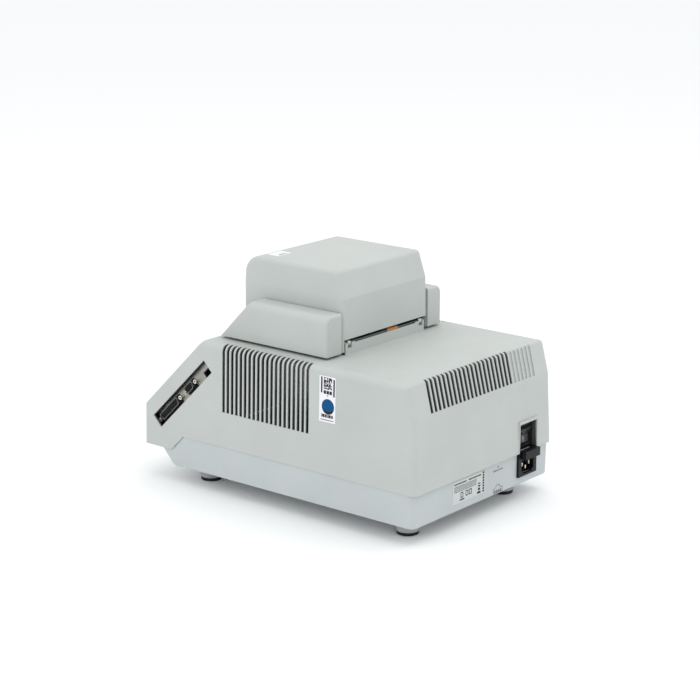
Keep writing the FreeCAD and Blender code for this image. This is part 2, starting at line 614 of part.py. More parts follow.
def hood_body(skin):
    """The hood's outer form moved inwards by skin, open below when skin is not zero."""
    low_z = "hood_low_z" if skin == "0" else "(hood_low_z - 5)"
    profile = extrude(outline([
        (f"hood_front_y + {skin}", low_z), (f"hood_back_y - {skin}", low_z),
        (f"hood_bend_y - {skin}", f"hood_bend_z - 0.15 * {skin}"),
        (f"hood_top_y - 1.1 * {skin}", f"hood_top_z - {skin}"),
        (f"hood_front_y + {skin}", f"hood_top_z - {skin}")]), "4 * hood_half")
    lower_lean = "((hood_half - hood_bend_half) / (hood_bend_z - hood_low_z))"
    upper_lean = "((hood_bend_half - hood_top_half) / (hood_top_z - hood_bend_z))"
    lower = wedge(f"hood_half - {skin}", lower_lean, low_z, "hood_bend_z")
    upper = wedge(f"hood_bend_half - {skin}", upper_lean, "hood_bend_z", "hood_top_z + 5")
    block = common(profile, fuse(lower, upper))
    brow = fillet(block, f"hood_brow - {skin}", lambda middle, way: middle.y < -85 and middle.z > 265
                  and abs(way.x) > 0.9)
    if skin != "0":
        return brow
    return fillet(brow, "hood_round", lambda middle, way: middle.z > value("hood_low_z") + 1 and (
        abs(middle.x) > 65 or middle.z > 270) and not (abs(way.y) > 0.9 and middle.z < 260)
        and not abs(middle.z - value("hood_bend_z")) < 1)


def hood():
    """A hollow hood whose sides reach down past the plinth, with a slot under its back wall."""
    shell = cut(hood_body("0"), hood_body("wall"))
    latch_hole = box(("2 * latch_half + 1", "8", "latch_top_z + 2.8 - hood_low_z + 1"),
                     ("-latch_half - 0.5", "hood_front_y - 3", "hood_low_z - 1"))
    back_slot = box(("2 * hood_half - 2 * wall", "8", "hood_slot_z - hood_low_z + 1"),
                    ("wall - hood_half", "hood_back_y - 5", "hood_low_z - 1"))
    return cut(shell, latch_hole, back_slot)


def cheek():
    """One side cover: closed outside, front, back and top, hollow from below."""
    middle_x = "(cheek_in_x + cheek_out_x) / 2"
    points = [("cheek_front_y", "cheek_low_z"), ("cheek_back_y", "cheek_low_z"),
              ("cheek_back_y", "cheek_top_z"), ("cheek_brow_y", "cheek_top_z")]
    form = extrude(outline(points, offset=middle_x), "cheek_out_x - cheek_in_x")
    outer = fillet(form, "cheek_round", lambda middle, way: middle.x > 103 and middle.z > 228)
    outer = fillet(outer, "3", lambda middle, way: middle.z > 184 and middle.x > 90
                   and (middle.y > 54 or way.y * way.z > 0.3))
    inner_points = [("cheek_front_y + 5", "cheek_low_z - 1"), ("cheek_back_y - wall", "cheek_low_z - 1"),
                    ("cheek_back_y - wall", "cheek_top_z - wall"), ("cheek_brow_y + 1", "cheek_top_z - wall")]
    hollow = extrude(outline(inner_points, offset=middle_x), "cheek_out_x - cheek_in_x - 5")
    hollow = fillet(hollow, "6", lambda middle, way: middle.x > 98 and middle.z > 225 and abs(way.y) > 0.9)
    studs = [rod("4", "1.5", ("cheek_in_x - 1.5", y, "207"), "x") for y in ("-60", "20")]
    return fuse(cut(outer, hollow), *studs)


def lid_frame():
    """The metal tray inside the hood: side flanges, hinge knuckles and lugs for the latch pin."""
    half = "(hood_half - wall - 1)"
    tray = box((f"2 * {half}", "130", "tray_thick"), (f"-{half}", "hood_front_y + 7", "tray_z"))
    sides = [box(("2.5", "130", "16"), (x, "hood_front_y + 7", "tray_z - 15")) for x in (f"-{half}", f"{half} - 2.5")]
    back = box((f"2 * {half}", "2.5", "10"), (f"-{half}", "hood_front_y + 132.5", "tray_z - 9"))
    knuckles = [knuckle(x) for x in ("-knuckle_x - knuckle_wide", "knuckle_x")]
    lugs = [box(("3", "8", "12"), (x, "latch_y - 4", "tray_z - 9.5")) for x in ("-25", "22")]
    holes = [rod("2.6", "8", (x, y, "tray_z - 3")) for x, y in spring_places()]
    window = box(("60", "40", "8"), ("-30", "block_y - 20", "tray_z - 3"))
    pin_hole = rod("1.5", "60", ("-30", "latch_y", "latch_z"), "x")
    return cut(fuse(tray, *sides, back, *knuckles, *lugs), window, pin_hole, *holes)


def knuckle(low_x):
    """A hinge barrel round the shaft with an arm up to the tray."""
    barrel = rod("knuckle_round", "knuckle_wide", (low_x, "hinge_y", "hinge_z"), "x")
    foot = box(("knuckle_wide", "11", "2.7"), (low_x, "hinge_y - 11", "plinth_z + 0.5"))
    arm = box(("knuckle_wide", "3", "tray_z - plinth_z"), (low_x, "hinge_y - 11", "plinth_z + 0.5"))
    bore = rod("shaft_round + shaft_slack", "knuckle_wide + 2", (f"{low_x} - 1", "hinge_y", "hinge_z"), "x")
    return cut(fuse(barrel, foot, arm), bore)


def spring_places():
    return [(x, y) for x in ("-45", "45") for y in ("block_y - 28", "block_y + 28")]


def heated_plate():
    """The plate that presses on the tube caps, its guide studs, its heater and its springs."""
    top_z = "(plate_low_z + plate_thick)"
    plate = box(("plate_long", "plate_wide", "plate_thick"),
                ("-plate_long / 2", "block_y - plate_wide / 2", "plate_low_z"))
    plate = fillet(plate, "3", lambda middle, way: abs(way.z) > 0.9)
    studs = [rod("2.3", f"tray_z + tray_thick + 6 - {top_z}", (x, y, f"{top_z} - 1"))
             for x, y in spring_places()]
    node("heated_plate", fuse(plate, *studs))
    heater = box(("plate_long - 6", "plate_wide - 6", "heater_thick"),
                 ("3 - plate_long / 2", "block_y - plate_wide / 2 + 3", top_z))
    holes = [rod("spring_round + 0.3", "6", (x, y, f"{top_z} - 1")) for x, y in spring_places()]
    node("plate_heater", cut(heater, *holes))
    node("plate_springs", group(*[spring(x, y, top_z, f"tray_z - {top_z}") for x, y in spring_places()]))


def spring(x, y, low_z, length):
    """A compression spring, drawn as the sleeve that its coil fills."""
    sleeve = rod("spring_round", length, (x, y, low_z))
    return cut(sleeve, rod("spring_round - spring_wire", length, (x, y, low_z)))


def hinge():
    """The shaft, and the two brackets under the roof that hold it."""
    node("hinge_shaft", rod("shaft_round", "2 * shaft_half", ("-shaft_half", "hinge_y", "hinge_z"), "x"))
    ears = []
    for side in (-1, 1):
        low_x = "ear_x" if side > 0 else "-ear_x - ear_thick"
        foot_x = "ear_x - 13" if side > 0 else "-ear_x - ear_thick"
        ear = box(("ear_thick", "7", "hinge_z - roof_z + 2 * wall"),
                  (low_x, "hinge_y - 3.5", "roof_z - 2 * wall"))
        crown = rod("3.5", "ear_thick", (low_x, "hinge_y", "hinge_z"), "x")
        foot = box(("ear_thick + 13", "20", "wall"), (foot_x, "hinge_y - 3.5", "roof_z - 2 * wall"))
        pin_hole = rod("shaft_round", "6", (f"{low_x} - 1", "hinge_y", "hinge_z"), "x")
        ears.append(cut(fuse(ear, crown, foot), pin_hole))
    node("hinge_brackets", group(*ears))


def lid_cable():
    """The flat cable from the plate heater down through the slot beside the hinge shaft."""
    points = [("20", "206.9"), ("45", "206.9"), ("45", "170"), ("45.4", "170"), ("45.4", "207.3"),
              ("20", "207.3")]
    node("lid_cable", extrude(outline(points, offset="-15"), "20"))


def latch():
    """The pull lever in the hood's front, its cross pin, its hook and the keeper it faces."""
    low_z = "hood_low_z + 1"
    plate = box(("2 * latch_half", "3", f"latch_top_z - ({low_z})"), ("-latch_half", "hood_front_y", low_z))
    grip = box(("2 * latch_half", "5", "4"), ("-latch_half", "hood_front_y - 4", low_z))
    web = box(("12", "latch_y - hood_front_y", "6"), ("-6", "hood_front_y + 1", "latch_z - 3"))
    barrel = rod("3.5", "40", ("-20", "latch_y", "latch_z"), "x")
    arm = box(("8", "3", "latch_z - hook_low_z"), ("-4", "latch_y - 1.5", "hook_low_z"))
    nose = box(("8", "5", "3"), ("-4", "latch_y - 1.5", "hook_low_z"))
    bore = rod("1.55", "44", ("-22", "latch_y", "latch_z"), "x")
    node("latch_lever", cut(fuse(plate, grip, web, barrel, arm, nose), bore))
    node("latch_pin", rod("1.5", "56", ("-28", "latch_y", "latch_z"), "x"))
    node("latch_keeper", box(("30", "10", "2"), ("-15", "latch_y + 4.5", "plinth_z - wall - 2")))


# ---------------------------------------------------------------- labels and screws

def labels():
    """Thin stickers that lie on the leaning walls."""
    side = box(("0.3", "23", "52"), ("0", "0", "0"))
    side.Placement = Placement(Vector(), Rotation(Vector(0, 1, 0), -1.277))
    put(side, ("wide / 2 - side_lean * (119.5 - seam_z)", "64.7", "119.5"))
    node("side_label", side)
    node("rating_label", box(("61.5", "0.3", "26"), ("-3", "base_back_y", "29.5")))
    node("lid_label", box(("24", "17", "0.3"), ("35.5", "-73", "hood_top_z")))


def screw_places():
    return [(x, y) for x in ("-112", "112") for y in ("-100", "20", "140")]


def casing_screws():
    """Screws from below that hold the two halves together."""
    screws = []
    for x, y in screw_places():
        head = rod("3.5", "2.5", (x, y, "base_z - 2.5"))
        shank = rod("1.8", "20", (x, y, "base_z - 2.5"))
        cross = [box(("4", "1", "2.2"), (f"{x} - 2", f"{y} - 0.5", "base_z - 3.5")),
                 box(("1", "4", "2.2"), (f"{x} - 0.5", f"{y} - 2", "base_z - 3.5"))]
        screws.append(cut(fuse(head, shank), *cross))
    node("casing_screws", group(*screws))


def save():
    """Check every object, then write one file for each sub-part."""
    doc.recompute()
    for thing in doc.Objects:
        if "Invalid" in thing.State or "Error" in thing.State:
            raise RuntimeError(f"{thing.Name} {thing.Label} failed: {thing.State}")
    os.makedirs("parts", exist_ok=True)
    for thing in nodes:
        shape = thing.Shape
        if shape.isNull() or not shape.isValid() or not shape.Solids:
            raise RuntimeError(f"{thing.Label} has no valid solid")
        shape.exportStep(f"parts/{thing.Label}.step")
        print(thing.Label, len(shape.Solids), round(shape.Volume))


node("upper_housing", upper_housing())
node("lower_casing", casing())
feet()
control_panel()
keys()
ports()
power_entry()
fuse_drawer()
rocker_switch()
sample_block()
cooling()
electronics()
node("lid_hood", hood())
right_cheek = node("lid_side_cover_right", cheek())
node("lid_side_cover_left", mirrored(right_cheek))
node("lid_frame", lid_frame())
heated_plate()
hinge()
lid_cable()
latch()
labels()
casing_screws()
save()
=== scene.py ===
import json
import math
import random

import bmesh
import bpy
from mathutils import Matrix, Vector


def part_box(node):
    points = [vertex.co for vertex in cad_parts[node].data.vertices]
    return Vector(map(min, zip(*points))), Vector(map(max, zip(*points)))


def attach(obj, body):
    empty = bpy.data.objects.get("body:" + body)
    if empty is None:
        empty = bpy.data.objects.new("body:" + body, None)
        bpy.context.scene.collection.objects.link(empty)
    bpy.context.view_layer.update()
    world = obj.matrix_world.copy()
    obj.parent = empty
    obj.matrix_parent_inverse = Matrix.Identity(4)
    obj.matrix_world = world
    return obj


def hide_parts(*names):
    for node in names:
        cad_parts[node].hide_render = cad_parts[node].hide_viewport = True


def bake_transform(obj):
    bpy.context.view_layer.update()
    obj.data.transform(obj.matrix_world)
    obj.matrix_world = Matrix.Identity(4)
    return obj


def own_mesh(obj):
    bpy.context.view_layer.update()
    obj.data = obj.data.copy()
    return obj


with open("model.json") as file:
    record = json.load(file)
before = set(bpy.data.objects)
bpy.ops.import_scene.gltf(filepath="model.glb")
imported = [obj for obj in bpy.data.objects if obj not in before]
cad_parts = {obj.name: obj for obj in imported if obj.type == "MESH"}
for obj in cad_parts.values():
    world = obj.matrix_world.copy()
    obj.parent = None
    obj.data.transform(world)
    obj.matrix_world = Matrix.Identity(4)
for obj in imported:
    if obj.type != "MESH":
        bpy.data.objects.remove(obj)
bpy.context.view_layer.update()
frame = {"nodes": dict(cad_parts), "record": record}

MM = 0.001
DIAGONAL = math.sqrt(0.5)

# The outer faces of the housing, in millimetres, as part.py has them.
FRONT_Y, SLOPE_FOOT_Z, ROOF_Z, SEAM_Z = -202.8, 89, 180, 59
SIDE_X, SIDE_LEAN = 132.5, 0.0223
BACK_Y, LOW_BACK_LEAN = 198.5, 0.043
BEND_Y, BEND_Z, HIGH_BACK_LEAN = 194.9, 143, 0.251
EDGE_ROUND, BACK_ROUND = 8, 3.5

# The painted shade in the housing's vent slots and recesses: the depths behind a face where it starts and
# where it covers, the height that it stays above, and the blind grille slots that it stays out of.
SHADE_STARTS, SHADE_COVERS, SHADE_FLOOR_Z = 0.8, 1.1, 43
BLIND_SLOTS_X, GRILLE_NEAR_Y, GRILLE_LOW_Z, SLOT_CLEARANCE = -55.7, 150, 140, 3

# What the detail pieces lie on, in millimetres. Up is along the control slope and out is away from it.
PORT_UP = {"25_way": 25.2, "9_way": 70.2}
COLLAR_HALF = {"25_way": 20.9, "9_way": 9.9}
PORT_OUT, EMPTY_INSERT_UP = -26.9, 57.7
HINGE = (50, 192)
HOOD_FRONT_Y = -93
FIRST_KEY, KEY_STEP, KEY_PROUD = (36, 29.5), (19, 17), 2.2
STICKER_GAP = 0.02

random.seed(7)


# ---------------------------------------------------------------- camera, light and floor

def add_camera():
    """A long lens behind the machine's right back corner, a little above it."""
    turn = math.radians(129.0)
    rise = math.radians(15.096)
    roll = math.radians(0.224)
    back = Vector((math.sin(turn) * math.cos(rise), -math.cos(turn) * math.cos(rise), math.sin(rise)))
    level = Vector((0, 0, 1)).cross(back).normalized()
    upright = back.cross(level)
    right = level * math.cos(roll) + upright * math.sin(roll)
    up = upright * math.cos(roll) - level * math.sin(roll)
    data = bpy.data.cameras.new("camera")
    data.sensor_width = 36
    data.lens = 105.67
    data.clip_end = 20
    camera = bpy.data.objects.new("camera", data)
    bpy.context.scene.collection.objects.link(camera)
    facing = Matrix((right, up, back)).transposed().to_4x4()
    eye = Vector((1.7939, 1.45464, 0.78451))
    camera.matrix_world = Matrix.Translation(eye) @ facing
    bpy.context.scene.camera = camera


def add_softbox(name, place, aim, size, power):
    """A rectangular lamp in a place, turned towards a point."""
    data = bpy.data.lights.new(name, "AREA")
    data.shape = "RECTANGLE"
    data.size, data.size_y = size
    data.energy = power
    lamp = bpy.data.objects.new(name, data)
    bpy.context.scene.collection.objects.link(lamp)
    lamp.location = place
    lamp.rotation_euler = (Vector(aim) - Vector(place)).to_track_quat("-Z", "Y").to_euler()


def add_studio():
    """An even bright room, two soft lamps and a white floor."""
    bpy.context.scene.view_settings.view_transform = "Standard"
    world = bpy.data.worlds.new("studio")
    bpy.context.scene.world = world
    world.use_nodes = True
    sky = world.node_tree.nodes["Background"]
    sky.inputs["Color"].default_value = (0.985, 0.995, 1.0, 1)
    sky.inputs["Strength"].default_value = 1.02
    add_softbox("top_softbox", (-0.3, 0.5, 2.2), (0, 0, 0), (2.2, 2.2), 16)
    add_softbox("side_softbox", (2.4, -0.9, 1.5), (0, 0, 0.1), (1.6, 1.6), 9)
    bpy.ops.mesh.primitive_grid_add(x_subdivisions=8, y_subdivisions=8, size=14, location=(0, 0, 0))
    floor = bpy.context.object
    floor.name = "floor"
    floor.data.materials.append(matte_paper("floor_paper", (0.93, 0.935, 0.94), grain=300))


# ---------------------------------------------------------------- material building blocks

class Look:
    """A material with its node tree, its shader and short ways to add to them."""

    def __init__(self, name, colour, roughness, metallic=0.0, specular=0.5):
        self.material = bpy.data.materials.new(name)
        self.material.use_nodes = True
        self.tree = self.material.node_tree
        self.shader = self.tree.nodes["Principled BSDF"]
        self.colour = colour
        self.set("Base Color", (*colour, 1))
        self.set("Roughness", roughness)
        self.set("Metallic", metallic)
        self.set("Specular IOR Level", specular)
        self.place = self.add("ShaderNodeTexCoord").outputs["Object"]

    def set(self, socket, value):
        self.shader.inputs[socket].default_value = value

    def add(self, kind, inputs=None, **settings):
        """A new node. An input is either another node's output or a plain value."""
        made = self.tree.nodes.new(kind)
        for key, value in settings.items():
            setattr(made, key, value)
        for key, value in (inputs or {}).items():
            if hasattr(value, "is_linked"):
                self.tree.links.new(value, made.inputs[key])
            else:
                made.inputs[key].default_value = value
        return made

    def link(self, output, socket):
        self.tree.links.new(output, self.shader.inputs[socket])

    def math(self, operation, first, second=0.0):
        return self.add("ShaderNodeMath", {0: first, 1: second}, operation=operation).outputs[0]

    def less(self, first, second):
        return self.math("SUBTRACT", first, second)

    def stretched(self, scale):
        return self.add("ShaderNodeMapping", {"Vector": self.place, "Scale": scale}).outputs["Vector"]

    def noise(self, scale, detail=3.0, place=None, rough=0.5):
        """Cloudy noise with scale cells to the metre."""
        inputs = {"Vector": place or self.place, "Scale": scale, "Detail": detail, "Roughness": rough}
        return self.add("ShaderNodeTexNoise", inputs).outputs["Fac"]

    def span(self, value, low, high, to_low, to_high):
        """A value moved from one range to another, and kept inside it."""
        inputs = {"Value": value, "From Min": low, "From Max": high, "To Min": to_low, "To Max": to_high}
        return self.add("ShaderNodeMapRange", inputs).outputs["Result"]

    def times(self, first, second):
        return self.math("MULTIPLY", first, second)

    def plus(self, first, second):
        return self.math("ADD", first, second)

    def mix(self, amount, first, second):
        """From the first colour to the second. Sockets 6 and 7 are the node's two colours."""
        colours = [value if hasattr(value, "is_linked") else (*value, 1) for value in (first, second)]
        inputs = {"Factor": amount, 6: colours[0], 7: colours[1]}
        return self.add("ShaderNodeMix", inputs, data_type="RGBA").outputs[2]

    def edges(self, reach):
        """Near 1 along sharp edges within reach metres, and 0 on flat ground."""
        soft = self.add("ShaderNodeBevel", {"Radius": reach}, samples=4).outputs["Normal"]
        plain = self.add("ShaderNodeNewGeometry").outputs["Normal"]
        alike = self.add("ShaderNodeVectorMath", {0: soft, 1: plain}, operation="DOT_PRODUCT")
        flat, sharp = 0.995, 0.85
        return self.span(alike.outputs["Value"], flat, sharp, 0.0, 1.0)

    def bump(self, height, distance, strength=1.0, rounding=0.0):
        inputs = {"Height": height, "Distance": distance, "Strength": strength}
        if rounding:
            soft = self.add("ShaderNodeBevel", {"Radius": rounding}, samples=4)
            inputs["Normal"] = soft.outputs["Normal"]
        self.link(self.add("ShaderNodeBump", inputs).outputs["Normal"], "Normal")

    def tint(self, amount):
        """The look's own colour, lighter or darker."""
        return tuple(min(1.0, part * amount) for part in self.colour)

    def rounded_corner(self, radius, first, second):
        """Depth under two faces whose shared edge is rounded, from the depths under each."""
        gaps = [self.math("MAXIMUM", self.less(radius, depth)) for depth in (first, second)]
        squares = [self.times(gap, gap) for gap in gaps]
        return self.less(radius, self.math("SQRT", self.plus(*squares)))


def depth_in_shell(look):
    """How many metres a point of the upper housing lies behind its nearest outer face.

    The blind slots of the back grille count as outside, because no shade is painted into them.
    """
    x, y, z = look.add("ShaderNodeSeparateXYZ", {0: look.place}).outputs

    def leaning(low, lean, low_z):
        return look.less(low * MM, look.times(look.less(z, low_z * MM), lean))

    side = look.less(leaning(SIDE_X, SIDE_LEAN, SEAM_Z), look.math("ABSOLUTE", x))
    roof = look.less(ROOF_Z * MM, z)
    low_back = leaning(BACK_Y, LOW_BACK_LEAN, SEAM_Z)
    high_back = leaning(BEND_Y, HIGH_BACK_LEAN, BEND_Z)
    back = look.less(look.math("MINIMUM", low_back, high_back), y)
    slope = look.times(look.less(y, look.less(z, (SLOPE_FOOT_Z - FRONT_Y) * MM)), DIAGONAL)
    depth = look.rounded_corner(EDGE_ROUND * MM, side, roof)
    for other in (look.rounded_corner(EDGE_ROUND * MM, side, back),
                  look.rounded_corner(BACK_ROUND * MM, roof, back),
                  slope, look.less(y, FRONT_Y * MM), look.less(z, SHADE_FLOOR_Z * MM)):
        depth = look.math("MINIMUM", depth, other)
    blind = look.times(look.math("LESS_THAN", x, BLIND_SLOTS_X * MM),
                       look.math("GREATER_THAN", y, GRILLE_NEAR_Y * MM))
    blind = look.times(blind, look.math("GREATER_THAN", z, GRILLE_LOW_Z * MM))
    return look.less(depth, look.times(blind, SLOT_CLEARANCE * MM))


def moulded_plastic(name, colour, roughness=0.55, grain=1500, relief=0.00002, rounding=0.0005,
                    worn=1.1, specular=0.4, shaded_inside=False):
    """Spark-eroded moulding: a fine even grain, faint clouding, edges rubbed a little lighter, and on
    request painted shade in the vent slots and recesses.
    """
    look = Look(name, colour, roughness, specular=specular)
    clouds = look.noise(14, detail=5)
    base = look.mix(look.span(clouds, 0.3, 0.7, 0, 1), look.tint(0.965), look.tint(1.03))
    rubbing = look.span(look.noise(120, detail=4), 0.4, 0.62, 0.15, 0.9)
    rubbed = look.times(look.edges(0.0008), rubbing)
    outside = look.mix(rubbed, base, look.tint(worn))
    # Painted shade: faces more than 0.8 mm behind the housing's outer faces turn near black, standing in
    # for the shade in its vent slots and recesses.
    if shaded_inside:
        inner_shade = look.span(depth_in_shell(look), SHADE_STARTS * MM, SHADE_COVERS * MM, 0, 1)
        outside = look.mix(inner_shade, outside, (0.085, 0.087, 0.085))
    look.link(outside, "Base Color")
    fine = look.noise(grain, detail=2, rough=0.6)
    handled = look.span(look.noise(32, detail=6), 0.35, 0.7, roughness - 0.05, roughness + 0.06)
    look.link(look.plus(handled, look.span(fine, 0.3, 0.7, -0.03, 0.03)), "Roughness")
    look.bump(fine, relief, rounding=rounding)
    return look.material


def smooth_plastic(name, colour, roughness=0.3, rounding=0.0003, worn=1.5):
    """Polished moulding with fine handling scratches."""
    look = Look(name, colour, roughness)
    scratches = look.noise(900, detail=3, place=look.stretched((1, 0.12, 1)))
    base = look.mix(look.span(look.noise(60, detail=4), 0.35, 0.7, 0, 1), look.tint(0.94), look.tint(1.08))
    rubbed = look.times(look.edges(0.0005), look.span(scratches, 0.4, 0.6, 0, 0.8))
    look.link(look.mix(rubbed, base, look.tint(worn)), "Base Color")
    look.link(look.span(scratches, 0.35, 0.7, roughness - 0.06, roughness + 0.1), "Roughness")
    look.bump(scratches, 0.000008, rounding=rounding)
    return look.material


def sheet_metal(name, colour, roughness=0.35, along=(1, 0.05, 1), grain=1200, worn=1.25):
    """Plated or brushed sheet: fine lines one way, blotchy plating, bright edges."""
    look = Look(name, colour, roughness, metallic=1.0)
    lines = look.noise(grain, detail=4, place=look.stretched(along))
    blotch = look.noise(70, detail=5)
    base = look.mix(look.span(blotch, 0.35, 0.68, 0, 1), look.tint(0.86), look.tint(1.06))
    look.link(look.mix(look.times(look.edges(0.0005), 0.6), base, look.tint(worn)), "Base Color")
    rough = look.span(lines, 0.3, 0.7, roughness - 0.07, roughness + 0.09)
    look.link(look.plus(rough, look.span(blotch, 0.3, 0.7, -0.05, 0.07)), "Roughness")
    look.bump(lines, 0.000012, rounding=0.0003)
    return look.material


def blasted_metal(name, colour, roughness=0.42):
    """Bead-blasted aluminium."""
    look = Look(name, colour, roughness, metallic=1.0)
    pits = look.noise(2600, detail=2)
    base = look.mix(look.span(look.noise(40, detail=5), 0.3, 0.7, 0, 1), look.tint(0.9), look.tint(1.05))
    look.link(base, "Base Color")
    look.link(look.span(pits, 0.3, 0.7, roughness - 0.06, roughness + 0.08), "Roughness")
    look.bump(pits, 0.00002, rounding=0.0004)
    return look.material


def rubber(name, colour):
    """Moulded rubber with dust on it."""
    look = Look(name, colour, 0.8, specular=0.3)
    dust = look.noise(260, detail=6)
    look.link(look.mix(look.span(dust, 0.45, 0.75, 0, 0.6), look.tint(0.9), look.tint(2.6)), "Base Color")
    look.link(look.span(dust, 0.4, 0.7, 0.72, 0.92), "Roughness")
    look.bump(look.noise(1700, detail=2), 0.00004, rounding=0.0006)
    return look.material


def matte_paper(name, colour, grain=2500):
    """Label stock or paper: faint fibres and a matte coat."""
    look = Look(name, colour, 0.75, specular=0.25)
    fibre = look.noise(grain, detail=5)
    look.link(look.mix(look.span(fibre, 0.35, 0.65, 0, 1), look.tint(0.985), look.tint(1.01)), "Base Color")
    look.link(look.span(fibre, 0.3, 0.7, 0.68, 0.8), "Roughness")
    look.bump(fibre, 0.000006)
    return look.material


def printed_ink(name, colour, roughness=0.5):
    """Ink with small gaps where it has worn."""
    look = Look(name, colour, roughness, specular=0.15)
    wear = look.noise(1800, detail=4)
    look.link(look.mix(look.span(wear, 0.64, 0.74, 0, 0.35), colour, (0.6, 0.6, 0.6)), "Base Color")
    look.link(look.span(wear, 0.3, 0.7, roughness - 0.08, roughness + 0.1), "Roughness")
    look.bump(wear, 0.000004)
    return look.material


def circuit_board(name):
    """Solder mask over copper tracks."""
    look = Look(name, (0.02, 0.13, 0.06), 0.35)
    cells = look.add("ShaderNodeTexVoronoi", {"Vector": look.place, "Scale": 420.0},
                     distance="CHEBYCHEV", feature="DISTANCE_TO_EDGE").outputs["Distance"]
    tracks = look.span(cells, 0.04, 0.07, 1, 0)
    look.link(look.mix(tracks, (0.015, 0.11, 0.05), (0.05, 0.25, 0.1)), "Base Color")
    look.link(look.span(tracks, 0, 1, 0.4, 0.28), "Roughness")
    look.bump(tracks, 0.00003)
    return look.material


def tinted_window(name, colour, alpha):
    """A clear or smoked window with faint wiping marks."""
    look = Look(name, colour, 0.12)
    smear = look.noise(50, detail=6, place=look.stretched((1, 0.3, 1)))
    look.link(look.span(smear, 0.35, 0.7, 0.06, 0.22), "Roughness")
    look.link(look.mix(look.span(smear, 0.3, 0.7, 0, 1), look.tint(0.9), look.tint(1.1)), "Base Color")
    look.bump(smear, 0.00001)
    look.set("Alpha", alpha)
    return look.material


def amber_film(name):
    """Polyimide film with etched copper lines under it."""
    look = Look(name, (0.55, 0.2, 0.035), 0.3)
    lines = look.add("ShaderNodeTexWave", {"Vector": look.place, "Scale": 160.0, "Distortion": 0.0},
                     wave_type="BANDS", bands_direction="X").outputs["Fac"]
    copper = look.span(lines, 0.4, 0.6, 0, 1)
    look.link(look.mix(copper, (0.62, 0.25, 0.05), (0.36, 0.12, 0.02)), "Base Color")
    look.link(look.span(look.noise(300, detail=3), 0.3, 0.7, 0.22, 0.4), "Roughness")
    look.bump(lines, 0.00002)
    return look.material


def port_face(name, metal, black):
    """A tin-plated D shell whose front face is the black insulator."""
    look = Look(name, metal, 0.35, specular=0.12)
    normal = look.add("ShaderNodeNewGeometry").outputs["True Normal"]
    across = look.add("ShaderNodeSeparateXYZ", {0: normal})
    front = look.span(across.outputs[0], 0.9, 0.95, 0, 1)
    grime = look.noise(900, detail=4)
    plated = look.mix(look.span(grime, 0.3, 0.7, 0, 1), look.tint(0.85), look.tint(1.1))
    look.link(look.mix(front, plated, black), "Base Color")
    look.link(look.span(front, 0, 1, 1, 0), "Metallic")
    look.link(look.span(grime, 0.3, 0.7, 0.26, 0.44), "Roughness")
    look.bump(grime, 0.000008, rounding=0.0003)
    return look.material


def pixel_glass(name):
    """A display with its matrix of dots faintly seen."""
    look = Look(name, (0.16, 0.2, 0.13), 0.2)
    dots = look.add("ShaderNodeTexBrick", {"Vector": look.place, "Scale": 1100.0, "Mortar Size": 0.12,
                                           "Color1": (0.17, 0.21, 0.14, 1), "Color2": (0.16, 0.2, 0.13, 1),
                                           "Mortar": (0.21, 0.26, 0.18, 1)}, offset=0.0)
    look.link(dots.outputs["Color"], "Base Color")
    look.link(look.span(look.noise(40, detail=4), 0.3, 0.7, 0.14, 0.26), "Roughness")
    return look.material


